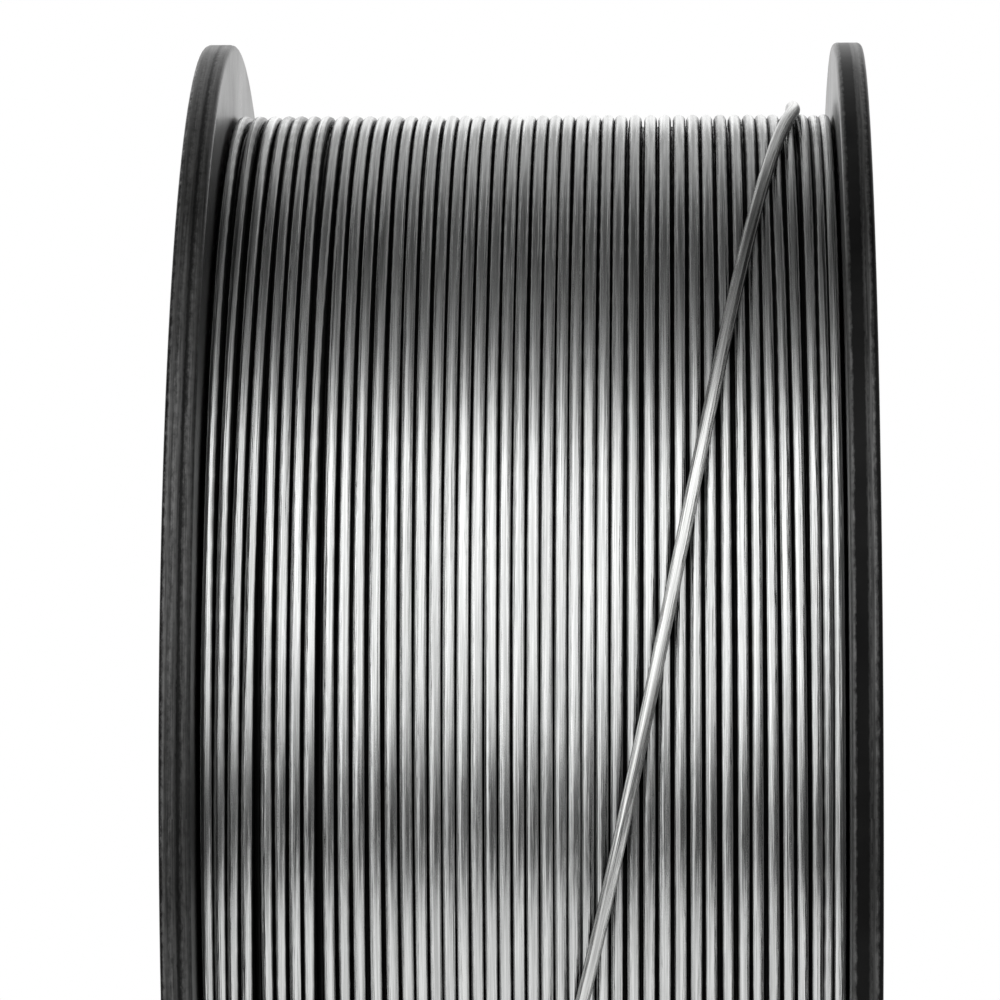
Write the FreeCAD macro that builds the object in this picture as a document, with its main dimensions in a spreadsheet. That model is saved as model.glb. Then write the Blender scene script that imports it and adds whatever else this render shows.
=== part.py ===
import FreeCAD, Part
import Sketcher
import math
import os

# Small wire spool, 100 mm over the flanges and 45 mm wide, moulded in one piece of black plastic.
# It carries a pack of 0.9 mm welding wire. The last length of the wire crosses the pack
# on its way from one flange to the other, and its end is tucked into a small hole.
#
# The spool's axis lies along X. It stands on both rims, with the floor at Z = 0.

doc = FreeCAD.newDocument("wire_spool")

# ---------------------------------------------------------------- sizes (mm and degrees)
SIZES = [
    # spool
    ("flange_dia", 100.0, "outside diameter of both flanges"),
    ("spool_width", 45.0, "over both flanges"),
    ("flange_thick", 2.0, "thickness of one flange"),
    ("rim_round", 0.35, "rounding of the rim's corners"),
    ("bore_dia", 16.5, "hole for the spindle"),
    ("bore_lead", 0.5, "chamfer at each mouth of the bore"),
    ("tube_wall", 2.2, "wall of the tube around the bore"),
    ("core_dia", 44.0, "outside of the barrel that the wire is wound on"),
    ("core_wall", 2.1, "wall of the barrel"),
    ("web_thick", 1.6, "disc that joins tube and barrel at mid width"),
    ("rib_thick", 1.6, "radial ribs between tube and barrel"),
    ("rib_inset", 1.5, "distance of the ribs' ends below the flange face"),
    ("rib_count", 6, "number of ribs"),
    # wire
    ("wire_dia", 0.9, "diameter of the wire"),
    ("rim_height", 4.9, "height of the flanges above the wound pack"),
    ("fit_gap", 0.04, "clearance between the pack and the plastic"),
    ("seat_gap", 0.02, "clearance between the last length and the pack"),
    # last length of the wire
    ("start_angle", 165.0, "where it leaves the last turn, counted up from the front"),
    ("start_gap", 0.27, "clearance between its start and the right flange"),
    ("settle_angle", 100.0, "from here to the start it moves over to the last turn"),
    ("over_angle", 84.0, "where it comes over the top, straight for a moment"),
    ("over_gap", 2.25, "clearance there to the right flange"),
    ("slant_angle", 80.0, "from here down it slants across the pack"),
    ("front_x", 6.47, "its distance from mid width at the front"),
    ("front_slope", 0.1748, "its way sideways at the front, mm per degree"),
    ("low_angle", -15.0, "below this angle its slope stays the same"),
    ("bend_radius", 1.7, "bend of the wire into its hole"),
    ("end_inset", 0.3, "distance of the wire's end below the flange face"),
    ("anchor_dia", 2.8, "hole for the wire's end, through both flanges"),
]
sheet = doc.addObject("Spreadsheet::Sheet", "sizes")
for row, (alias, value, meaning) in enumerate(SIZES, start=1):
    sheet.set("A%d" % row, meaning)
    sheet.set("B%d" % row, str(value))
    sheet.setAlias("B%d" % row, alias)
doc.recompute()
size = {alias: value for alias, value, meaning in SIZES}

AXIS_HEIGHT = "sizes.flange_dia / 2"


# ---------------------------------------------------------------- helpers
def origin_item(body, role):
    """Return the body's own plane or axis with this role."""
    for item in body.Origin.OriginFeatures:
        if item.Role == role:
            return item
    raise ValueError(role)


def new_body(label):
    """Add a body whose own X axis is the spool's axis, at its height above the floor."""
    body = doc.addObject("PartDesign::Body", label)
    body.Label = label
    body.setExpression(".Placement.Base.z", AXIS_HEIGHT)
    return body


def new_sketch(body, name, plane):
    sketch = body.newObject("Sketcher::SketchObject", name)
    sketch.AttachmentSupport = (origin_item(body, plane), [""])
    sketch.MapMode = "FlatFace"
    return sketch


def draw_outline(sketch, corners):
    """Draw a closed outline. Each corner is (expression for x, expression for y)."""
    count = len(corners)
    start = [FreeCAD.Vector(10 * math.cos(2 * math.pi * i / count),
                            20 + 10 * math.sin(2 * math.pi * i / count), 0) for i in range(count)]
    for i in range(count):
        sketch.addGeometry(Part.LineSegment(start[i], start[(i + 1) % count]), False)
    for i in range(count):
        sketch.addConstraint(Sketcher.Constraint("Coincident", i, 2, (i + 1) % count, 1))
    for i, (across, up) in enumerate(corners):
        for kind, place, expression in (("DistanceX", start[i].x, across), ("DistanceY", start[i].y, up)):
            index = sketch.addConstraint(Sketcher.Constraint(kind, -1, 1, i, 1, place))
            sketch.setExpression("Constraints[%d]" % index, expression)


def turned(body, name, sketch, axis_role):
    feature = body.newObject("PartDesign::Revolution", name)
    feature.Profile = sketch
    feature.ReferenceAxis = (origin_item(body, axis_role), [""])
    feature.Angle = 360.0
    return feature


# ---------------------------------------------------------------- spool
HALF = "sizes.spool_width / 2"
BORE = "sizes.bore_dia / 2"
TUBE = "sizes.bore_dia / 2 + sizes.tube_wall"
BARREL = "sizes.core_dia / 2"
HOLLOW = "sizes.core_dia / 2 - sizes.core_wall"
RIM = "sizes.flange_dia / 2"
PACK = "sizes.flange_dia / 2 - sizes.rim_height"

spool = new_body("spool")
section = new_sketch(spool, "spool_section", "XZ_Plane")
right_side = [
    (HALF + " - sizes.bore_lead", BORE),
    (HALF, BORE + " + sizes.bore_lead"),
    (HALF, TUBE),
    ("sizes.web_thick / 2", TUBE),
    ("sizes.web_thick / 2", HOLLOW),
    (HALF, HOLLOW),
    (HALF, RIM),
    (HALF + " - sizes.flange_thick", RIM),
    (HALF + " - sizes.flange_thick", BARREL),
]
left_side = [("-(%s)" % across, up) for across, up in reversed(right_side)]
draw_outline(section, right_side + left_side)
spool_turned = turned(spool, "spool_turned", section, "X_Axis")

rib_section = new_sketch(spool, "rib_section", "XZ_Plane")
rib_end = HALF + " - sizes.rib_inset"
draw_outline(rib_section, [
    ("-(%s)" % rib_end, TUBE + " - sizes.tube_wall / 2"),
    (rib_end, TUBE + " - sizes.tube_wall / 2"),
    (rib_end, HOLLOW + " + sizes.core_wall / 2"),
    ("-(%s)" % rib_end, HOLLOW + " + sizes.core_wall / 2"),
])
rib = spool.newObject("PartDesign::Pad", "rib")
rib.Profile = rib_section
rib.Midplane = True
rib.setExpression("Length", "sizes.rib_thick")
doc.recompute()

ribs = spool.newObject("PartDesign::PolarPattern", "ribs")
ribs.Originals = [rib]
ribs.Axis = (origin_item(spool, "X_Axis"), [""])
ribs.Angle = 360.0
ribs.setExpression("Occurrences", "sizes.rib_count")
spool.Tip = ribs
doc.recompute()


# ---------------------------------------------------------------- route of the last length of wire
pack_radius = size["flange_dia"] / 2 - size["rim_height"]
route_radius = pack_radius + size["seat_gap"] + size["wire_dia"] / 2
inner_face = size["spool_width"] / 2 - size["flange_thick"]
start_angle = size["start_angle"]
start_x = inner_face - size["start_gap"] - size["wire_dia"] / 2
over_x = inner_face - size["over_gap"] - size["wire_dia"] / 2

# The slant is a parabola through front_x that flattens towards over_x at the top.
slope = size["front_slope"]
slant = size["slant_angle"]
fade = (size["over_angle"] - slant) / 2
easing = (size["front_x"] + slope * (slant + fade) - over_x) / (slant ** 2 + 2 * slant * fade)


def sideways(angle):
    """Distance from mid width at this angle, which is 0 at the front and 90 at the top."""
    low = size["low_angle"]
    held = min(max(angle, low), slant)
    x = size["front_x"] + slope * held - easing * held ** 2
    held_slope = slope - 2 * easing * held
    if angle < low:
        return x + held_slope * (angle - low)
    if angle <= slant:
        return x
    if angle < size["over_angle"]:
        part = (angle - slant) / (2 * fade)
        return x + held_slope * 2 * fade * (part - part ** 2 / 2)
    part = max(0.0, angle - size["settle_angle"]) / (start_angle - size["settle_angle"])
    return over_x + (start_x - over_x) * part ** 2 * (3 - 2 * part)


def on_route(angle):
    turn = math.radians(angle)
    return FreeCAD.Vector(sideways(angle), -route_radius * math.cos(turn), route_radius * math.sin(turn))


def along_route(angle):
    """Direction of travel, which is downwards at the front."""
    step = 0.01
    way = on_route(angle - step) - on_route(angle + step)
    return way.normalize()


def arc_between(start, start_way, end):
    """Arc from start to end that leaves start in this direction."""
    chord = end - start
    unit = FreeCAD.Vector(chord).normalize()
    aside = start_way - unit * start_way.dot(unit)
    if aside.Length < 1e-7:
        return Part.LineSegment(start, end).toShape()
    half_turn = math.acos(max(-1.0, min(1.0, start_way.dot(unit))))
    bulge = chord.Length / 2 * math.tan(half_turn / 2)
    middle = start + chord * 0.5 + aside.normalize() * bulge
    return Part.Arc(start, middle, end).toShape()


def arc_pair(start, start_way, end, end_way):
    """Two arcs that meet smoothly and fit both given directions."""
    span = end - start
    ways = start_way + end_way
    spread = 2 * (1 - start_way.dot(end_way))
    reach = (-span.dot(ways) + math.sqrt(span.dot(ways) ** 2 + spread * span.dot(span))) / spread
    middle = (start + start_way * reach + end - end_way * reach) * 0.5
    middle_way = (end - end_way * reach - start - start_way * reach).normalize()
    return [arc_between(start, start_way, middle), arc_between(middle, middle_way, end)]


# The bend into the hole starts where its own width is left between the route and the flange.
bend = size["bend_radius"]
last_angle = start_angle
while True:
    way = along_route(last_angle)
    lean = math.asin(-way.x)
    if sideways(last_angle) - bend * math.cos(lean) <= -inner_face:
        break
    last_angle -= 0.05
anchor_angle = last_angle - math.degrees(bend * (1 - math.sin(lean)) / route_radius)

edges = []
steps = int(math.ceil((start_angle - last_angle) / 8))
angles = [start_angle + (last_angle - start_angle) * i / steps for i in range(steps + 1)]
for a, b in zip(angles, angles[1:]):
    edges += arc_pair(on_route(a), along_route(a), on_route(b), along_route(b))

into_hole = FreeCAD.Vector(-1, 0, 0)
bend_start = on_route(last_angle)
bend_way = along_route(last_angle)
across_bend = (bend_way - into_hole * bend_way.dot(into_hole)).normalize()
bend_end = (bend_start + across_bend * bend * (1 - math.sin(lean))
            + into_hole * bend * math.cos(lean))
edges.append(arc_between(bend_start, bend_way, bend_end))
wire_end = FreeCAD.Vector(-(size["spool_width"] / 2 - size["end_inset"]), bend_end.y, bend_end.z)
edges.append(Part.LineSegment(bend_end, wire_end).toShape())

route = doc.addObject("Part::Feature", "tail_route")
route.Shape = Part.Wire(edges)
route.setExpression(".Placement.Base.z", AXIS_HEIGHT)

# ---------------------------------------------------------------- holes for the wire's end, and round rims
anchor_sketch = new_sketch(spool, "anchor_sketch", "YZ_Plane")
anchor_sketch.addGeometry(Part.Circle(FreeCAD.Vector(bend_end.y, bend_end.z, 0), FreeCAD.Vector(0, 0, 1),
                                      size["anchor_dia"] / 2), False)
anchor_sketch.addConstraint(Sketcher.Constraint("DistanceX", -1, 1, 0, 3, bend_end.y))
anchor_sketch.addConstraint(Sketcher.Constraint("DistanceY", -1, 1, 0, 3, bend_end.z))
diameter = anchor_sketch.addConstraint(Sketcher.Constraint("Diameter", 0, size["anchor_dia"]))
anchor_sketch.setExpression("Constraints[%d]" % diameter, "sizes.anchor_dia")
before = spool.Shape.Volume
anchor_holes = spool.newObject("PartDesign::Pocket", "anchor_holes")
anchor_holes.Profile = anchor_sketch
anchor_holes.Type = "ThroughAll"
anchor_holes.Midplane = True
doc.recompute()
removed = before - spool.Shape.Volume
print("anchor holes remove %.2f mm3, both flanges hold %.2f"
      % (removed, 2 * size["flange_thick"] * math.pi * size["anchor_dia"] ** 2 / 4))

rim_edges = []
for number, edge in enumerate(anchor_holes.Shape.Edges, start=1):
    if isinstance(edge.Curve, Part.Circle) and abs(edge.Curve.Radius - size["flange_dia"] / 2) < 0.01:
        rim_edges.append("Edge%d" % number)
rims = spool.newObject("PartDesign::Fillet", "round_rims")
rims.Base = (anchor_holes, rim_edges)
rims.setExpression("Radius", "sizes.rim_round")
spool.Tip = rims

# ---------------------------------------------------------------- pack of wire
winding = new_body("wire_winding")
pack_section = new_sketch(winding, "pack_section", "XZ_Plane")
pack_side = HALF + " - sizes.flange_thick - sizes.fit_gap"
draw_outline(pack_section, [
    ("-(%s)" % pack_side, BARREL + " + sizes.fit_gap"),
    (pack_side, BARREL + " + sizes.fit_gap"),
    (pack_side, PACK),
    ("-(%s)" % pack_side, PACK),
])
winding.Tip = turned(winding, "pack_turned", pack_section, "X_Axis")

# ---------------------------------------------------------------- last length of wire
first = on_route(start_angle)
wire_face = doc.addObject("Part::Circle", "wire_face")
wire_face.setExpression("Radius", "sizes.wire_dia / 2")
wire_face.Placement = FreeCAD.Placement(first, FreeCAD.Rotation(FreeCAD.Vector(0, 0, 1),
                                                                along_route(start_angle)))
wire_face.setExpression(".Placement.Base.z", "%.6f + %s" % (first.z, AXIS_HEIGHT))
doc.recompute()

tail = doc.addObject("Part::Sweep", "wire_tail")
tail.Label = "wire_tail"
tail.Sections = [wire_face]
tail.Spine = (route, ["Edge%d" % (i + 1) for i in range(len(edges))])
tail.Solid = True
tail.Frenet = False
doc.recompute()

# ---------------------------------------------------------------- tests and files
for item in doc.Objects:
    if "Invalid" in item.State or "Error" in item.State:
        raise RuntimeError("%s did not build: %s" % (item.Name, item.State))

nodes = {"spool": spool, "wire_winding": winding, "wire_tail": tail}
for name, item in nodes.items():
    if item.Shape.isNull() or not item.Shape.isValid():
        raise RuntimeError("%s has no valid shape" % name)
    box = item.Shape.BoundBox
    print("%-13s %9.1f mm3  solids %d  x %.2f..%.2f  y %.2f..%.2f  z %.2f..%.2f" % (
        name, item.Shape.Volume, len(item.Shape.Solids), box.XMin, box.XMax, box.YMin, box.YMax,
        box.ZMin, box.ZMax))

length = route.Shape.Length
print("last length %.2f mm long; %.2f mm3, section times length %.2f" % (
    length, tail.Shape.Volume, length * math.pi * size["wire_dia"] ** 2 / 4))
print("hole for the wire's end at %.1f degrees" % anchor_angle)

os.makedirs("parts", exist_ok=True)
for name, item in nodes.items():
    item.Shape.exportStep("parts/%s.step" % name)
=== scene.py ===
import math

import bpy
import numpy as np
from mathutils import Matrix, Vector


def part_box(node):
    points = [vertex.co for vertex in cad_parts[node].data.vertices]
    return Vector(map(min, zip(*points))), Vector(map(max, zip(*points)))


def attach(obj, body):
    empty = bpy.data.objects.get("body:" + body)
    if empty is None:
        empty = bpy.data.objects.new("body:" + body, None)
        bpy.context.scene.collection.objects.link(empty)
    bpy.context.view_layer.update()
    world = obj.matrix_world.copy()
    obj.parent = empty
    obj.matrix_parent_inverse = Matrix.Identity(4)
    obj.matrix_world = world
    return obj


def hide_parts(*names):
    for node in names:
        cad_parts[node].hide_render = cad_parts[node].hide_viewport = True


# %% [markdown]
# # A small spool of welding wire
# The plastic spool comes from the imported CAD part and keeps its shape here. This script winds the
# wire on it turn by turn, lays the last length across the pack, and gives both their surfaces.
# All lengths are metres. The spool's axis runs along X at the height of the flanges' radius.

# %% Load the part
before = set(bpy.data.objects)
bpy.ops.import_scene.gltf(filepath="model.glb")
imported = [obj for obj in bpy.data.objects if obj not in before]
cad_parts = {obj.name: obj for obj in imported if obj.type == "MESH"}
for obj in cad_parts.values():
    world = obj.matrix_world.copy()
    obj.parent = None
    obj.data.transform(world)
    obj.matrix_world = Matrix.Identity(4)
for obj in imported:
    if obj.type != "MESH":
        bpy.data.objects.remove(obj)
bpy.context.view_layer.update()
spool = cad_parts["spool"]
(pack_low, pack_high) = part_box("wire_winding")
AXIS_Z = (pack_low[2] + pack_high[2]) / 2
PACK_R = (pack_high[2] - pack_low[2]) / 2
INNER_FACE = pack_high[0]
MM = 0.001
print("axis at %.1f mm, pack radius %.2f mm" % (AXIS_Z / MM, PACK_R / MM))

# %% [markdown]
# ## Where the turns lie
# The top layer has 44 turns. They run straight round the front and step over by one place at the
# back. The borders between neighbours are listed high and low on the front, in mm from mid width.
# Most turns touch. A few borders are wide and let the layer below show. An even row would be quicker
# to write, but real turns are never evenly spaced, and the eye sees it at once.

# %% Borders between the turns
high = np.array([
    -20.30, -19.42, -18.31, -17.42, -16.47, -15.56, -14.69, -13.73, -12.66, -11.73, -10.77, -9.82,
    -8.84, -7.92, -7.01, -6.00, -5.10, -4.20, -3.34, -2.44, -1.56, -0.71, 0.21, 1.08, 1.99, 2.87,
    3.75, 4.65, 5.55, 6.42, 7.54, 8.50, 9.48, 10.46, 11.37, 12.31, 13.30, 14.30, 15.20, 16.03,
    16.89, 17.85, 18.95, 19.46, 20.34])
low = np.array([
    -20.30, -19.46, -18.66, -17.83, -16.51, -15.67, -14.80, -13.87, -12.63, -11.75, -10.75, -9.83,
    -8.71, -7.72, -6.82, -5.92, -5.05, -4.20, -3.31, -2.43, -1.54, -0.70, 0.19, 1.07, 1.95, 2.83,
    3.64, 4.52, 5.45, 6.37, 7.49, 8.39, 9.44, 10.40, 11.39, 12.33, 13.45, 14.32, 15.25, 16.31,
    17.15, 18.05, 18.97, 19.50, 20.34])
turn_high = (high[:-1] + high[1:]) / 2
turn_low = (low[:-1] + low[1:]) / 2
TURNS = len(turn_high)

# Two turns lean against a neighbour below a wide border, and one is pressed a little deeper.
turn_low[3] = -17.41
turn_low[7] = -13.45
PRESSED_TURN, PRESSED_X, PRESSED_DEPTH = 42, 19.20, 0.04
turn_high[PRESSED_TURN] = turn_low[PRESSED_TURN] = PRESSED_X
sunk = np.zeros(TURNS)
sunk[PRESSED_TURN] = PRESSED_DEPTH
print(TURNS, "turns, mean distance %.3f mm" % ((high[-1] - high[0]) / TURNS))


# %% [markdown]
# ## Path of one layer
# The angle is 0 at the front, 90 at the top and falls as the wire runs on. A turn keeps its place
# within `HOLD` degrees of the front, and the rest of it leads over to the next one, as a winding
# machine lays it. One long path makes the whole layer, because the real wire is one piece too.

# %% Tools for the paths
WIRE_MM = 0.885
HOLD = 115.0
STEP_OVER = 125.0
LISTED_HIGH, LISTED_SPAN = 50.0, 62.0
BEYOND = 0.2
LAYER_END = -166.0


def smooth(t):
    t = np.clip(t, 0.0, 1.0)
    return t * t * (3 - 2 * t)


def wobble(angle, turn, seed, size):
    """Slow, repeatable unevenness along a turn."""
    rng = np.random.default_rng(seed + int(turn) * 7)
    total = np.zeros_like(angle)
    for wave in (1.0, 2.3, 4.1):
        total += rng.uniform(-1, 1) * np.sin(np.radians(angle) * wave + rng.uniform(0, 6.28))
    return size * total / 3


print("a turn holds its place for %d degrees and steps over in %d" % (2 * HOLD, STEP_OVER))


# %% One layer
def layer_path(at_high, at_low, radius, drop, per_turn, seed, uneven):
    """Points of a whole layer. Places, radius, drop and unevenness are in mm."""
    points = []
    for turn in range(len(at_high)):
        after = min(turn + 1, len(at_high) - 1)
        last = turn == len(at_high) - 1
        end = LAYER_END if last else HOLD - 360.0
        angle = np.linspace(HOLD, end, per_turn, endpoint=last)
        place = np.clip((LISTED_HIGH - angle) / LISTED_SPAN, -BEYOND, 1 + BEYOND)
        x = at_high[turn] + (at_low[turn] - at_high[turn]) * place
        x_after = at_high[after] + (at_low[after] - at_high[after]) * -BEYOND
        over = smooth((-angle - HOLD) / STEP_OVER)
        x = x + (x_after - x) * over
        r = radius - drop[turn] + (drop[turn] - drop[after]) * over
        x = x + wobble(angle, turn, seed, uneven)
        r = r + wobble(angle, turn, seed + 500, uneven * 0.5) - uneven * 0.5
        turns = np.radians(angle)
        points.append(np.stack([x, -r * np.cos(turns), r * np.sin(turns)], axis=1))
    path = np.concatenate(points) * MM
    path[:, 2] += AXIS_Z
    return path


top_radius = PACK_R / MM - WIRE_MM / 2
layer = layer_path(turn_high, turn_low, top_radius, sunk, per_turn=120, seed=11, uneven=0.018)
print("top layer", len(layer), "points at radius %.2f mm" % top_radius)


# %% [markdown]
# ## Where the layer begins, and the layer below
# The wire comes up from the layer below beside the left flange. A cut end there would look wrong
# from behind, so the first turn gets its climb. The layer below lies in the grooves of the top one.

# %% First turn's climb and the layer below
CLIMB_START = 238.0
LAYER_STEP = 0.77


def first_rise(path):
    """Beside the left flange, the layer's first turn climbs as its own far end makes room."""
    angle = np.linspace(CLIMB_START, HOLD, 60, endpoint=False)
    first_x = path[0, 0] / MM
    first_r = math.hypot(path[0, 1], path[0, 2] - AXIS_Z) / MM
    end_x = turn_high[0] + (turn_low[0] - turn_high[0]) * (1 + BEYOND)
    next_x = turn_high[1] - (turn_low[1] - turn_high[1]) * BEYOND
    room = end_x + (next_x - end_x) * smooth((360.0 - HOLD - angle) / STEP_OVER) - first_x
    r = first_r - np.sqrt(np.clip(WIRE_MM ** 2 - room ** 2, 0.0, None))
    turns = np.radians(angle)
    rise = np.stack([np.full_like(r, first_x), -r * np.cos(turns), r * np.sin(turns)], axis=1)
    rise = rise * MM
    rise[:, 2] += AXIS_Z
    return np.concatenate([rise, path])


top_path = first_rise(layer)
below_radius = top_radius - LAYER_STEP
below_path = layer_path(high[1:-1], low[1:-1], below_radius, np.zeros(TURNS - 1), per_turn=72,
                        seed=90, uneven=0.02)
print("top layer %.2f m of wire, %d points" % (
    np.linalg.norm(np.diff(top_path, axis=0), axis=1).sum(), len(top_path)))

# %% [markdown]
# ## Path of the last length
# The wire comes up over its own last turn at the right flange, crosses the pack in a long slant,
# passes under it, and turns into the small hole in the left flange. Its place along the spool is a
# rule of the angle, so the slant, the easing at the top and the bend join without a kink.
# `FRONT_X` and `FRONT_SLOPE` give the slant at the front, in mm and mm for each degree. Above
# `SLANT` the slant eases off, until the wire runs straight from `OVER` to `SETTLE`.

# %% The slant
TAIL_MM = 0.9
FRONT_X = 6.47
FRONT_SLOPE = 0.1748
STEADY_BELOW = -15.0
SLANT = 80.0
OVER = 84.0
OVER_X = 17.80
SETTLE = 100.0
START_ANGLE = 165.0
START_X = 19.78
FADE = (OVER - SLANT) / 2
EASING = (FRONT_X + FRONT_SLOPE * (SLANT + FADE) - OVER_X) / (SLANT ** 2 + 2 * SLANT * FADE)


def sideways(angle):
    """Distance from mid width in mm, for an array of angles."""
    held = np.clip(angle, STEADY_BELOW, SLANT)
    held_slope = FRONT_SLOPE - 2 * EASING * held
    x = FRONT_X + FRONT_SLOPE * held - EASING * held ** 2
    x = x + held_slope * np.minimum(angle - STEADY_BELOW, 0.0)
    part = np.clip((angle - SLANT) / (2 * FADE), 0.0, 1.0)
    x = x + held_slope * 2 * FADE * (part - part ** 2 / 2)
    return x + (START_X - OVER_X) * smooth((angle - SETTLE) / (START_ANGLE - SETTLE))


print("at the front the last length is %.2f mm right of mid width" % sideways(np.zeros(1))[0])

# %% Last length
BEND = 1.7
LEAN = math.radians(13.2)
LAST_ANGLE = -135.0
WIRE_END_X = -22.2
CLEAR = 0.01
FIRST_ANGLE = 196.0
LIFT_FROM, LIFT_SPAN = 158.0, 34.0
tail_r = PACK_R / MM + TAIL_MM / 2 + CLEAR
climb = np.linspace(FIRST_ANGLE, START_ANGLE, 40, endpoint=False)
cross = np.linspace(START_ANGLE, LAST_ANGLE, 520)
lead = LEAN + np.linspace(0.0, 1.0, 14)[1:] * (math.pi / 2 - LEAN)
bend_x = sideways(cross[-1:]) - BEND * (math.cos(LEAN) - np.cos(lead))
bend_angle = cross[-1] - np.degrees(BEND * (np.sin(lead) - math.sin(LEAN)) / tail_r)
out_x = np.linspace(bend_x[-1], WIRE_END_X, 8)[1:]
tail_angle = np.concatenate([climb, cross, bend_angle, np.full(len(out_x), bend_angle[-1])])
tail_x = np.concatenate([sideways(climb), sideways(cross), bend_x, out_x])
sunk_in = (tail_r - top_radius) * smooth((tail_angle - LIFT_FROM) / LIFT_SPAN)
turns = np.radians(tail_angle)
tail_path = np.stack([tail_x, -(tail_r - sunk_in) * np.cos(turns),
                      (tail_r - sunk_in) * np.sin(turns)], axis=1) * MM
tail_path[:, 2] += AXIS_Z
print("last length %.1f mm" % (np.linalg.norm(np.diff(tail_path, axis=0), axis=1).sum() / MM))

# %% [markdown]
# ## Drawing wire along a path
# One node group turns any path into round wire. It keeps two values for the surface: the distance
# along the wire, and the direction around it. Geometry Nodes suit this, because a round section
# swept along a path is all that a wire is, and three pieces share it with their own diameters.


# %% Wire node group
NODE_STEP = 120


def add(nodes, kind, **values):
    node = nodes.new(kind)
    node.location = (0, -NODE_STEP * len(nodes))
    for name, value in values.items():
        setattr(node, name, value)
    return node


UNEVEN = 0.004 * MM


def wire_group():
    group = bpy.data.node_groups.new("Round wire along a path", "GeometryNodeTree")
    face = group.interface
    face.new_socket("Path", in_out="INPUT", socket_type="NodeSocketGeometry")
    for name, kind, value in (
            ("Diameter", "NodeSocketFloat", WIRE_MM * MM), ("Sides", "NodeSocketInt", 12),
            ("Seed", "NodeSocketInt", 3), ("Unevenness", "NodeSocketFloat", UNEVEN)):
        socket = face.new_socket(name, in_out="INPUT", socket_type=kind)
        socket.default_value = value
    face.new_socket("Material", in_out="INPUT", socket_type="NodeSocketMaterial")
    face.new_socket("Wire", in_out="OUTPUT", socket_type="NodeSocketGeometry")
    nodes, link = group.nodes, group.links.new
    inp = add(nodes, "NodeGroupInput")
    out = add(nodes, "NodeGroupOutput")
    to_curve = add(nodes, "GeometryNodeMeshToCurve")
    length = add(nodes, "GeometryNodeSplineParameter")
    keep_length = add(nodes, "GeometryNodeStoreNamedAttribute", data_type="FLOAT", domain="POINT")
    keep_length.inputs["Name"].default_value = "along"
    half = add(nodes, "ShaderNodeMath", operation="MULTIPLY")
    half.inputs[1].default_value = 0.5
    ring = add(nodes, "GeometryNodeCurvePrimitiveCircle", mode="RADIUS")
    where = add(nodes, "GeometryNodeInputPosition")
    unit = add(nodes, "ShaderNodeVectorMath", operation="NORMALIZE")
    keep_around = add(nodes, "GeometryNodeStoreNamedAttribute", data_type="FLOAT_VECTOR",
                      domain="POINT")
    keep_around.inputs["Name"].default_value = "around"
    sweep = add(nodes, "GeometryNodeCurveToMesh")
    sweep.inputs["Fill Caps"].default_value = True
    noise = add(nodes, "ShaderNodeTexNoise", noise_dimensions="4D")
    noise.inputs["Scale"].default_value = 160.0
    noise.inputs["Detail"].default_value = 1.0
    centre = add(nodes, "ShaderNodeMath", operation="SUBTRACT")
    centre.inputs[1].default_value = 0.5
    amount = add(nodes, "ShaderNodeMath", operation="MULTIPLY")
    normal = add(nodes, "GeometryNodeInputNormal")
    push = add(nodes, "ShaderNodeVectorMath", operation="SCALE")
    shift = add(nodes, "GeometryNodeSetPosition")
    shade = add(nodes, "GeometryNodeSetShadeSmooth")
    paint = add(nodes, "GeometryNodeSetMaterial")
    link(inp.outputs["Path"], to_curve.inputs["Mesh"])
    link(to_curve.outputs["Curve"], keep_length.inputs["Geometry"])
    link(length.outputs["Length"], keep_length.inputs["Value"])
    link(inp.outputs["Diameter"], half.inputs[0])
    link(inp.outputs["Sides"], ring.inputs["Resolution"])
    link(half.outputs[0], ring.inputs["Radius"])
    link(ring.outputs["Curve"], keep_around.inputs["Geometry"])
    link(where.outputs[0], unit.inputs[0])
    link(unit.outputs[0], keep_around.inputs["Value"])
    link(keep_length.outputs["Geometry"], sweep.inputs["Curve"])
    link(keep_around.outputs["Geometry"], sweep.inputs["Profile Curve"])
    link(inp.outputs["Seed"], noise.inputs["W"])
    link(noise.outputs[0], centre.inputs[0])
    link(centre.outputs[0], amount.inputs[0])
    link(inp.outputs["Unevenness"], amount.inputs[1])
    link(normal.outputs[0], push.inputs[0])
    link(amount.outputs[0], push.inputs["Scale"])
    link(sweep.outputs["Mesh"], shift.inputs["Geometry"])
    link(push.outputs[0], shift.inputs["Offset"])
    link(shift.outputs["Geometry"], shade.inputs["Geometry"])
    link(shade.outputs["Geometry"], paint.inputs["Geometry"])
    link(inp.outputs["Material"], paint.inputs["Material"])
    link(paint.outputs["Geometry"], out.inputs["Wire"])
    return group


WIRE_GROUP = wire_group()
print("wire group of", len(WIRE_GROUP.nodes), "nodes")


# %% One piece of wire
def keep_crest(mesh, crest):
    """Store how far the crests lie from the axis, for the painted shade between the turns."""
    kept = mesh.attributes.new("crest", "FLOAT", "POINT")
    kept.data.foreach_set("value", np.broadcast_to(crest, len(mesh.vertices)).astype(np.float32))


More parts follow.
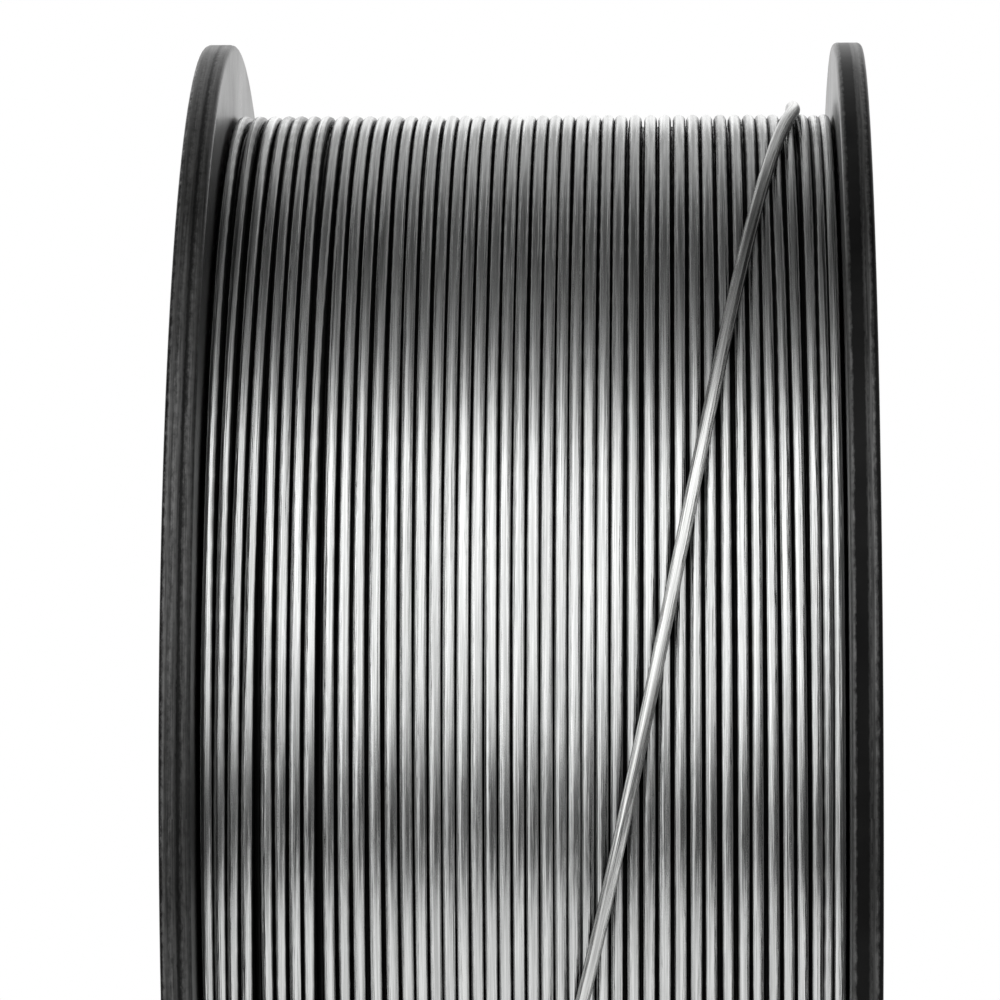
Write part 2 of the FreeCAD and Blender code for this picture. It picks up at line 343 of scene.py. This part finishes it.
def drawn_wire(name, path, material, sides, seed, diameter=WIRE_MM * MM, uneven=UNEVEN,
               crest=PACK_R):
    """Make one object of round wire along a path of points."""
    mesh = bpy.data.meshes.new(name + "_path")
    mesh.from_pydata([tuple(p) for p in path], [(i, i + 1) for i in range(len(path) - 1)], [])
    keep_crest(mesh, crest)
    guide = bpy.data.objects.new(name + "_path", mesh)
    bpy.context.collection.objects.link(guide)
    modifier = guide.modifiers.new("wire", "NODES")
    modifier.node_group = WIRE_GROUP
    wanted = {"Diameter": diameter, "Sides": sides, "Seed": seed, "Unevenness": uneven,
              "Material": material}
    for item in WIRE_GROUP.interface.items_tree:
        if item.name in wanted and item.in_out == "INPUT":
            modifier[item.identifier] = wanted[item.name]
    bpy.context.view_layer.update()
    depsgraph = bpy.context.evaluated_depsgraph_get()
    done = bpy.data.meshes.new_from_object(guide.evaluated_get(depsgraph))
    bpy.data.objects.remove(guide)
    piece = bpy.data.objects.new(name, done)
    piece.data.name = name
    bpy.context.collection.objects.link(piece)
    triangles = sum(len(p.vertices) - 2 for p in done.polygons)
    print(name, triangles, "triangles", [round(v / MM, 2) for v in piece.dimensions])
    return piece


# %% [markdown]
# ## Surface of the wire
# Bright drawn steel. The die leaves fine lines along the wire, so the noise is long in that
# direction and short around it. Deep between the turns the colour is painted black, as painted
# shade in the grooves. `crest` is the distance of the crests from the axis, kept on each mesh. The
# steel keeps its colour down to `shade_from` below it and is painted black from `black` on. A mask
# by depth was chosen over painting each gap, because it follows the turns wherever they lie.


# %% Small tools for shaders
def links_of(material):
    material.use_nodes = True
    tree = material.node_tree
    tree.nodes.clear()
    return tree.nodes, tree.links.new


def math_node(nodes, link, operation, a, b=None, clamp=False):
    node = nodes.new("ShaderNodeMath")
    node.operation = operation
    node.use_clamp = clamp
    for socket, value in zip(node.inputs, (a, b)):
        if value is None:
            continue
        if isinstance(value, (int, float)):
            socket.default_value = value
        else:
            link(value, socket)
    return node.outputs[0]


def map_range(nodes, link, value, from_min, from_max, to_min, to_max):
    node = nodes.new("ShaderNodeMapRange")
    link(value, node.inputs["Value"])
    for name, number in (("From Min", from_min), ("From Max", from_max), ("To Min", to_min),
                         ("To Max", to_max)):
        node.inputs[name].default_value = number
    return node.outputs["Result"]

def attribute(nodes, name):
    node = nodes.new("ShaderNodeAttribute")
    node.attribute_name = name
    return node.outputs


def noise(nodes, link, vector, scale, detail, rough=0.5):
    node = nodes.new("ShaderNodeTexNoise")
    for name, number in (("Scale", scale), ("Detail", detail), ("Roughness", rough)):
        node.inputs[name].default_value = number
    link(vector, node.inputs["Vector"])
    return node.outputs["Fac"]


def mixed_colour(nodes, link, share, a, b):
    node = nodes.new("ShaderNodeMix")
    node.data_type = "RGBA"
    link(share, node.inputs["Factor"])
    for name, colour in (("A", a), ("B", b)):
        if isinstance(colour, tuple):
            node.inputs[name].default_value = colour
        else:
            link(colour, node.inputs[name])
    return node.outputs["Result"]


def bumped(nodes, link, height, strength, distance):
    node = nodes.new("ShaderNodeBump")
    node.inputs["Strength"].default_value = strength
    node.inputs["Distance"].default_value = distance
    link(height, node.inputs["Height"])
    return node.outputs["Normal"]


def spool_places(nodes, link):
    """Place along the spool, towards the back, up from the axis, and distance from the axis."""
    coords = nodes.new("ShaderNodeTexCoord").outputs["Object"]
    split = nodes.new("ShaderNodeSeparateXYZ")
    link(coords, split.inputs[0])
    x, y = split.outputs["X"], split.outputs["Y"]
    up = math_node(nodes, link, "SUBTRACT", split.outputs["Z"], AXIS_Z)
    squares = [math_node(nodes, link, "MULTIPLY", value, value) for value in (up, y)]
    from_axis = math_node(nodes, link, "SQRT", math_node(nodes, link, "ADD", *squares))
    return coords, x, y, up, from_axis


print("shader tools ready, the axis lies at %.1f mm" % (AXIS_Z / MM))

# %% Wire material
# The painted shade stands this much higher towards the left flange, the right flange and the top, in
# mm.
PAINTED_SHADE_RISES = [("side", -8.0, -13.0, 0.08), ("side", 9.0, 13.0, 0.055), ("up", 16.0, 30.0, 0.04)]
# Black painted into the grooves between the turns, as their shade.
PAINTED_SHADE_BLACK = (0.006, 0.006, 0.006, 1)
LINES_PER_METRE = 38.0
LINE_DEPTH = 0.07 * MM


def wire_material(name, base, rough, streak, shade_from, black):
    material = bpy.data.materials.new(name)
    nodes, link = links_of(material)
    along = attribute(nodes, "along")["Fac"]
    split = nodes.new("ShaderNodeSeparateXYZ")
    link(attribute(nodes, "around")["Vector"], split.inputs[0])
    join = nodes.new("ShaderNodeCombineXYZ")
    link(split.outputs["X"], join.inputs["X"])
    link(split.outputs["Y"], join.inputs["Y"])
    link(math_node(nodes, link, "MULTIPLY", along, LINES_PER_METRE), join.inputs["Z"])
    lines = noise(nodes, link, join.outputs[0], 2.6, 3.0, 0.6)
    slow = noise(nodes, link, join.outputs[0], 0.9, 1.0)
    tone = nodes.new("ShaderNodeValToRGB")
    dull, bright = tone.color_ramp.elements
    dull.position, bright.position = 0.36, 0.62
    dull.color = tuple(c * (1 - streak) for c in base) + (1,)
    bright.color = tuple(min(1.0, c * (1 + streak * 0.4)) for c in base) + (1,)
    link(lines, tone.inputs["Fac"])

    coords, x, y, up, from_axis = spool_places(nodes, link)
    depth = math_node(nodes, link, "SUBTRACT", attribute(nodes, "crest")["Fac"], from_axis)
    depth = math_node(nodes, link, "ADD", depth, map_range(
        nodes, link, slow, 0.3, 0.7, -0.05 * MM, 0.05 * MM))
    for way, start, end, more in PAINTED_SHADE_RISES:
        depth = math_node(nodes, link, "ADD", depth, map_range(
            nodes, link, up if way == "up" else x, start * MM, end * MM, 0.0, more * MM))
    # Painted shade: deeper below the crests, the colour turns black and the surface stops being metal.
    painted_shade = map_range(nodes, link, depth, shade_from, black, 0.0, 1.0)

    shader = nodes.new("ShaderNodeBsdfPrincipled")
    link(mixed_colour(nodes, link, painted_shade, tone.outputs["Color"], PAINTED_SHADE_BLACK), shader.inputs["Base Color"])
    link(map_range(nodes, link, painted_shade, 0.0, 1.0, 1.0, 0.0), shader.inputs["Metallic"])
    shader.inputs["Specular IOR Level"].default_value = 0.08
    link(map_range(nodes, link, slow, 0.3, 0.7, rough * 0.8, rough * 1.25),
         shader.inputs["Roughness"])
    height = math_node(nodes, link, "ADD", lines, math_node(nodes, link, "MULTIPLY", slow, 1.2))
    link(bumped(nodes, link, height, 1.0, LINE_DEPTH), shader.inputs["Normal"])
    end = nodes.new("ShaderNodeOutputMaterial")
    link(shader.outputs[0], end.inputs["Surface"])
    return material


STEEL = wire_material("drawn_steel", (0.66, 0.668, 0.662), rough=0.20, streak=0.26,
                      shade_from=0.17 * MM, black=0.26 * MM)
# The last length gets deeper painted shade along its sides, where it lies on the pack.
TAIL_STEEL = wire_material("drawn_steel_last_length", (0.68, 0.685, 0.675), rough=0.20, streak=0.30,
                           shade_from=0.24 * MM, black=0.36 * MM)
for material in (STEEL, TAIL_STEEL):
    print(material.name, "of", len(material.node_tree.nodes), "nodes")

# %% [markdown]
# ## Winding the wire
# The pack would hold some 240 m of wire, and almost all of it is out of sight. Only the top layer,
# the layer under it and the last length are drawn as wire. Further down a plain closed drum fills
# the pack, so that no light comes through the gaps.

# %% Wind the wire
top_layer = drawn_wire("wound_turns", top_path, STEEL, sides=12, seed=3)
# The layer below lies so deep that the steel's painted shade turns it black all over.
below_layer = drawn_wire("turns_below", below_path, STEEL, sides=8, seed=5)
tail = drawn_wire("last_length", tail_path, TAIL_STEEL, sides=20, seed=8, diameter=TAIL_MM * MM,
                  uneven=0.01 * MM, crest=PACK_R + TAIL_MM * MM - sunk_in * MM)


# %% Drum under the layers
def drum(name, radius, half, material, sides=160):
    """Closed barrel under the two layers, in place of the turns further down."""
    ring = [(radius * math.cos(turn), radius * math.sin(turn))
            for turn in (2 * math.pi * i / sides for i in range(sides))]
    verts = [(x, y, z + AXIS_Z) for x in (-half, half) for y, z in ring]
    faces = [(i, (i + 1) % sides, sides + (i + 1) % sides, sides + i) for i in range(sides)]
    faces += [tuple(reversed(range(sides))), tuple(range(sides, 2 * sides))]
    mesh = bpy.data.meshes.new(name)
    mesh.from_pydata(verts, [], faces)
    mesh.materials.append(material)
    keep_crest(mesh, PACK_R)
    piece = bpy.data.objects.new(name, mesh)
    bpy.context.collection.objects.link(piece)
    return piece


DRUM_BELOW, DRUM_SHORT = 0.3, 0.1
# The drum lies deeper still and is painted black all over by the same painted shade.
deep_turns = drum("deep_turns", (below_radius - DRUM_BELOW) * MM, INNER_FACE - DRUM_SHORT * MM, STEEL)
for piece in (top_layer, below_layer, deep_turns):
    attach(piece, "root")
    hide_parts("wire_winding")
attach(tail, "root")
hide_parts("wire_tail")
print("deep_turns radius %.2f mm, half width %.2f mm" % (
    max(v.co.y for v in deep_turns.data.vertices) / MM,
    max(v.co.x for v in deep_turns.data.vertices) / MM))


# %% [markdown]
# ## Surface of the spool
# Black plastic as it leaves the mould: dull, a little uneven, with a rough seam around each rim
# where the mould's halves met, and scattered rub marks and dust. The lines of the seam follow the
# rim, so they are read from the place across it, and noise that is stretched along the rim breaks
# them up. Their lighter colour is partly the seam's own and partly painted highlight.

# %% Lines across the rims
FLANGE_OUTER, FLANGE_INNER = 22.5 * MM, 20.5 * MM
RIM_FROM, RIM_TO = 49.6 * MM, 49.85 * MM
# Shares of the rim's width from its outer edge inwards, and how strong the line is there. The strength
# lightens the colour, partly as painted highlight.
LEFT_SEAM_AND_HIGHLIGHT = [(0.0, 0.0), (0.06, 0.0), (0.14, 1.0), (0.27, 0.45), (0.40, 0.85), (0.50, 0.55),
              (0.58, 0.0), (0.64, 0.05), (0.75, 0.7), (0.84, 0.62), (0.94, 0.35), (1.0, 0.5)]
RIGHT_SEAM_AND_HIGHLIGHT = [(0.0, 0.0), (0.12, 0.0), (0.24, 1.0), (0.33, 0.35), (0.40, 0.5), (0.47, 0.0),
               (0.82, 0.0), (0.90, 0.9), (0.98, 0.7), (1.0, 0.6)]


def line_ramp(nodes, link, value, stops):
    ramp = nodes.new("ShaderNodeValToRGB")
    elements = ramp.color_ramp.elements
    elements[0].position, elements[1].position = 0.0, 1.0
    for at, level in stops[1:-1]:
        elements.new(at)
    for element, (at, level) in zip(elements, stops):
        element.position = at
        element.color = (level, level, level, 1)
    link(value, ramp.inputs["Fac"])
    return ramp.outputs["Color"]


def round_the_rim(nodes, link, x, angle, across_scale, round_scale, detail, rough=0.5):
    """Noise that is stretched along the rim."""
    place = nodes.new("ShaderNodeCombineXYZ")
    link(math_node(nodes, link, "MULTIPLY", x, across_scale), place.inputs["X"])
    link(math_node(nodes, link, "MULTIPLY", angle, round_scale), place.inputs["Y"])
    return noise(nodes, link, place.outputs[0], 1.0, detail, rough)


def seam_lines_and_highlight(nodes, link, x, y, up, on_rim):
    """Rough lines of the mould's seam with painted highlight lines across the rim, 0 to about 1."""
    angle = math_node(nodes, link, "ARCTAN2", up, y)
    drag = round_the_rim(nodes, link, x, angle, 9000.0, 9.0, 3.0)
    crumbs = round_the_rim(nodes, link, x, angle, 3200.0, 75.0, 4.0, 0.7)
    across = map_range(nodes, link, math_node(nodes, link, "ABSOLUTE", x),
                       FLANGE_OUTER, FLANGE_INNER, 0.0, 1.0)
    inwards = math_node(nodes, link, "ADD", across, map_range(
        nodes, link, crumbs, 0.3, 0.7, -0.035, 0.035))
    is_left = math_node(nodes, link, "LESS_THAN", x, 0.0)
    seam_and_highlight = mixed_colour(nodes, link, is_left, line_ramp(nodes, link, inwards, RIGHT_SEAM_AND_HIGHLIGHT),
                          line_ramp(nodes, link, inwards, LEFT_SEAM_AND_HIGHLIGHT))
    seam_and_highlight = math_node(nodes, link, "MULTIPLY", seam_and_highlight, map_range(
        nodes, link, drag, 0.3, 0.7, 0.4, 1.4))
    seam_and_highlight = math_node(nodes, link, "MULTIPLY", seam_and_highlight, map_range(
        nodes, link, crumbs, 0.36, 0.68, 0.6, 1.35))
    return math_node(nodes, link, "MULTIPLY", seam_and_highlight, on_rim)


print(len(LEFT_SEAM_AND_HIGHLIGHT), "stops across the left rim,", len(RIGHT_SEAM_AND_HIGHLIGHT), "across the right one")

# %% Plastic material
BLACK_PLASTIC = (0.0035, 0.0035, 0.0036, 1)
PALE_MARKS_AND_HIGHLIGHT = (0.16, 0.16, 0.155, 1)


def plastic_material():
    material = bpy.data.materials.new("black_moulded_plastic")
    nodes, link = links_of(material)
    coords, x, y, up, from_axis = spool_places(nodes, link)
    on_rim = map_range(nodes, link, from_axis, RIM_FROM, RIM_TO, 0.0, 1.0)
    lines = seam_lines_and_highlight(nodes, link, x, y, up, on_rim)
    grain = noise(nodes, link, coords, 900.0, 4.0)
    patches = noise(nodes, link, coords, 130.0, 5.0)
    specks = nodes.new("ShaderNodeTexVoronoi")
    specks.inputs["Scale"].default_value = 200.0
    link(coords, specks.inputs["Vector"])
    dust = math_node(nodes, link, "MULTIPLY", map_range(
        nodes, link, specks.outputs["Distance"], 0.03, 0.06, 1.0, 0.0), map_range(
        nodes, link, patches, 0.55, 0.60, 0.0, 1.0))
    mottle = map_range(nodes, link, patches, 0.35, 0.75, 0.0, 0.06)
    # The seam lines lighten the colour a little: partly the seam's own roughness, partly painted
    # highlight.
    marks_and_highlight = math_node(nodes, link, "ADD", mottle, math_node(
        nodes, link, "MAXIMUM", dust, math_node(nodes, link, "MULTIPLY", lines, 0.20)), clamp=True)

    shader = nodes.new("ShaderNodeBsdfPrincipled")
    link(mixed_colour(nodes, link, marks_and_highlight, BLACK_PLASTIC, PALE_MARKS_AND_HIGHLIGHT),
         shader.inputs["Base Color"])
    gloss = math_node(nodes, link, "ADD", map_range(nodes, link, on_rim, 0.0, 1.0, 0.55, 0.06),
                      math_node(nodes, link, "MULTIPLY", lines, 0.94), clamp=True)
    link(gloss, shader.inputs["Specular IOR Level"])
    link(map_range(nodes, link, patches, 0.3, 0.7, 0.27, 0.36), shader.inputs["Roughness"])
    rough_grain = math_node(nodes, link, "MULTIPLY", grain, map_range(
        nodes, link, on_rim, 0.0, 1.0, 1.4, 0.25))
    height = math_node(nodes, link, "ADD", rough_grain,
                       math_node(nodes, link, "MULTIPLY", lines, 0.4))
    link(bumped(nodes, link, height, 0.7, 0.06 * MM), shader.inputs["Normal"])
    end = nodes.new("ShaderNodeOutputMaterial")
    link(shader.outputs[0], end.inputs["Surface"])
    return material


PLASTIC = plastic_material()
spool.data.materials.clear()
spool.data.materials.append(PLASTIC)
print(PLASTIC.name, "of", len(PLASTIC.node_tree.nodes), "nodes")

# %% [markdown]
# ## Light of the room
# The room's brightness is given once, for any direction away from the spool, and both the sky and
# the floor use it in reflections. Directions are in degrees: 0 level towards the viewer, 90 up, 180
# level behind, and below 0 the floor. One broad soft box hangs in front and above, the ceiling is
# dim, the wall behind is bright, and a dark strip lies where the viewer stands. Towards the left
# the box reaches further up and down.


# %% Brightness of the room
BEHIND_AND_ABOVE = [(107, 0.070), (112, 0.075), (117, 0.095), (122, 0.15), (127, 0.25), (131, 0.34),
                    (138, 0.47), (145, 0.53), (150, 0.44), (154, 0.50), (157, 0.70), (160, 1.20),
                    (164, 1.90), (180, 1.90)]
# A colour ramp holds 32 stops, so the right side leaves out the last two of the shared ones.
RIGHT_STOPS = [(-180, 1.90), (-166, 0.90), (-90, 0.90), (-40, 1.00), (-27, 0.98), (-21, 0.76),
               (-17, 0.26), (-13, 0.08), (-7, 0.07), (-2, 0.12), (2, 0.22), (8, 0.60), (15, 1.00),
               (25, 1.28), (50, 1.48), (60, 1.50), (66, 1.08), (72, 0.54), (82, 0.26),
               (97, 0.13)] + BEHIND_AND_ABOVE[:12]
LEFT_STOPS = [(-180, 1.90), (-166, 0.90), (-90, 0.90), (-40, 1.05), (-19, 0.96), (-11, 0.62),
              (-5, 0.76), (0, 1.15), (10, 1.55), (25, 1.50), (45, 1.55), (62, 1.75), (72, 1.50),
              (82, 0.74), (92, 0.32), (98, 0.19)] + BEHIND_AND_ABOVE
LEFT_FROM, LEFT_TO = -0.20, -0.55
DIM_FROM, DIM_TO, DIMMED = 0.88, 1.0, 0.6
RAMP_SCALE = 2.0


def brightness_ramp(nodes, link, share, stops):
    ramp = nodes.new("ShaderNodeValToRGB")
    elements = ramp.color_ramp.elements
    while len(elements) > 1:
        elements.remove(elements[0])
    for number, (degrees, value) in enumerate(stops):
        at, level = (degrees + 180) / 360, value / RAMP_SCALE
        stop = elements[0] if number == 0 else elements.new(at)
        stop.position = at
        stop.color = (level, level, level, 1)
    link(share, ramp.inputs["Fac"])
    return ramp.outputs["Color"]


def room_group():
    group = bpy.data.node_groups.new("Brightness of the room", "ShaderNodeTree")
    group.interface.new_socket("Direction", in_out="INPUT", socket_type="NodeSocketVector")
    group.interface.new_socket("Brightness", in_out="OUTPUT", socket_type="NodeSocketFloat")
    nodes, link = group.nodes, group.links.new
    inp = nodes.new("NodeGroupInput")
    out = nodes.new("NodeGroupOutput")
    split = nodes.new("ShaderNodeSeparateXYZ")
    link(inp.outputs["Direction"], split.inputs[0])
    towards = math_node(nodes, link, "MULTIPLY", split.outputs["Y"], -1.0)
    height = math_node(nodes, link, "ARCTAN2", split.outputs["Z"], towards)
    share = map_range(nodes, link, height, -math.pi, math.pi, 0.0, 1.0)
    sides = nodes.new("ShaderNodeMix")
    sides.data_type = "FLOAT"
    link(map_range(nodes, link, split.outputs["X"], LEFT_FROM, LEFT_TO, 0.0, 1.0),
         sides.inputs["Factor"])
    link(brightness_ramp(nodes, link, share, RIGHT_STOPS), sides.inputs["A"])
    link(brightness_ramp(nodes, link, share, LEFT_STOPS), sides.inputs["B"])
    far_aside = math_node(nodes, link, "ABSOLUTE", split.outputs["X"])
    dimmer = map_range(nodes, link, far_aside, DIM_FROM, DIM_TO, RAMP_SCALE, DIMMED)
    link(math_node(nodes, link, "MULTIPLY", sides.outputs["Result"], dimmer),
         out.inputs["Brightness"])
    return group


ROOM = room_group()
print("room from", len(RIGHT_STOPS), "and", len(LEFT_STOPS), "stops")


def room_brightness(nodes, link, direction):
    node = nodes.new("ShaderNodeGroup")
    node.node_tree = ROOM
    link(direction, node.inputs["Direction"])
    return node.outputs["Brightness"]


# %% [markdown]
# ## Floor
# The floor near the spool is pale and takes its soft shadow. Further away it fades to plain white.
# In reflections it shows the room's brightness, as a real floor would under the same lamps.


# %% Floor
WHITE_FROM, WHITE_TO = 0.10, 0.26
MIRROR_FROM, MIRROR_TO = 0.05, 0.09
FLOOR_HALF = 4.0


def floor_material():
    material = bpy.data.materials.new("pale_floor")
    nodes, link = links_of(material)
    place = nodes.new("ShaderNodeTexCoord")
    path = nodes.new("ShaderNodeLightPath")
    pale = nodes.new("ShaderNodeBsdfDiffuse")
    pale.inputs["Color"].default_value = (0.85, 0.85, 0.85, 1)
    white = nodes.new("ShaderNodeEmission")
    away = nodes.new("ShaderNodeVectorMath")
    away.operation = "LENGTH"
    link(place.outputs["Object"], away.inputs[0])
    fade = map_range(nodes, link, away.outputs["Value"], WHITE_FROM, WHITE_TO, 0.0, 1.0)
    seen = nodes.new("ShaderNodeMixShader")
    link(math_node(nodes, link, "MULTIPLY", fade, path.outputs["Is Camera Ray"]), seen.inputs["Fac"])
    link(pale.outputs[0], seen.inputs[1])
    link(white.outputs[0], seen.inputs[2])

    # In reflections the floor has the room's brightness in its direction from the pack's front.
    from_spool = nodes.new("ShaderNodeVectorMath")
    from_spool.operation = "SUBTRACT"
    link(place.outputs["Object"], from_spool.inputs[0])
    from_spool.inputs[1].default_value = (0.0, -0.8 * PACK_R, AXIS_Z)
    direction = nodes.new("ShaderNodeVectorMath")
    direction.operation = "NORMALIZE"
    link(from_spool.outputs[0], direction.inputs[0])
    mirrored = nodes.new("ShaderNodeEmission")
    link(room_brightness(nodes, link, direction.outputs[0]), mirrored.inputs["Strength"])
    beyond = map_range(nodes, link, away.outputs["Value"], MIRROR_FROM, MIRROR_TO, 0.0, 1.0)
    blend = nodes.new("ShaderNodeMixShader")
    link(math_node(nodes, link, "MULTIPLY", beyond, path.outputs["Is Glossy Ray"]), blend.inputs["Fac"])
    link(seen.outputs[0], blend.inputs[1])
    link(mirrored.outputs[0], blend.inputs[2])
    end = nodes.new("ShaderNodeOutputMaterial")
    link(blend.outputs[0], end.inputs["Surface"])
    return material


def plane(name, half, material):
    mesh = bpy.data.meshes.new(name)
    corners = [(-half, -half, 0), (half, -half, 0), (half, half, 0), (-half, half, 0)]
    mesh.from_pydata(corners, [], [(0, 1, 2, 3)])
    mesh.materials.append(material)
    piece = bpy.data.objects.new(name, mesh)
    bpy.context.collection.objects.link(piece)
    return piece


floor = plane("floor", FLOOR_HALF, floor_material())
print("floor", [round(v, 2) for v in floor.dimensions], "m")


# %% [markdown]
# ## Sky
# The sky lights the spool with the room's brightness and is plain white behind it. It takes the
# place of lamps, because bright metal shows the whole room and not only its lamps.


# %% Sky
def world_light():
    world = bpy.data.worlds.new("studio")
    bpy.context.scene.world = world
    world.use_nodes = True
    tree = world.node_tree
    tree.nodes.clear()
    nodes, link = tree.nodes, tree.links.new
    coords = nodes.new("ShaderNodeTexCoord")
    lit = nodes.new("ShaderNodeBackground")
    link(room_brightness(nodes, link, coords.outputs["Generated"]), lit.inputs["Strength"])
    white = nodes.new("ShaderNodeBackground")
    for background in (lit, white):
        background.inputs["Color"].default_value = (1, 1, 1, 1)
    path = nodes.new("ShaderNodeLightPath")
    blend = nodes.new("ShaderNodeMixShader")
    link(path.outputs["Is Camera Ray"], blend.inputs["Fac"])
    link(lit.outputs[0], blend.inputs[1])
    link(white.outputs[0], blend.inputs[2])
    end = nodes.new("ShaderNodeOutputWorld")
    link(blend.outputs[0], end.inputs["Surface"])


world_light()
bpy.context.scene.view_settings.view_transform = "Standard"
print("sky", bpy.context.scene.world.name)

# %% [markdown]
# ## Camera
# It stands close in front, a little right of and above the spool's middle, with a long lens. It
# sees the pack and both rims, and the bottom of the spool lies below its view.

# %% Camera
LENS_MM, SENSOR_MM = 247.8, 36.0
TURNED = (-1.4077, 1.4108, -0.1705)
RIGHT_MM, BACK_MM, ABOVE_AXIS_MM = 9.244, -475.69, 30.256
lens = bpy.data.cameras.new("camera")
lens.sensor_width = SENSOR_MM
lens.lens = LENS_MM
lens.clip_start = 0.01
camera = bpy.data.objects.new("camera", lens)
bpy.context.collection.objects.link(camera)
yaw, pitch, roll = (math.radians(v) for v in TURNED)
level = math.cos(pitch)
forward = Vector((math.sin(yaw) * level, math.cos(yaw) * level, -math.sin(pitch)))
right = Vector((math.cos(yaw), -math.sin(yaw), 0.0))
above = right.cross(forward)
across = right * math.cos(roll) + above * math.sin(roll)
upward = above * math.cos(roll) - right * math.sin(roll)
place = Matrix.Translation((RIGHT_MM * MM, BACK_MM * MM, AXIS_Z + ABOVE_AXIS_MM * MM))
camera.matrix_world = place @ Matrix((across, upward, -forward)).transposed().to_4x4()
bpy.context.scene.camera = camera
print("camera", [round(v / MM, 1) for v in camera.matrix_world.translation], "mm")
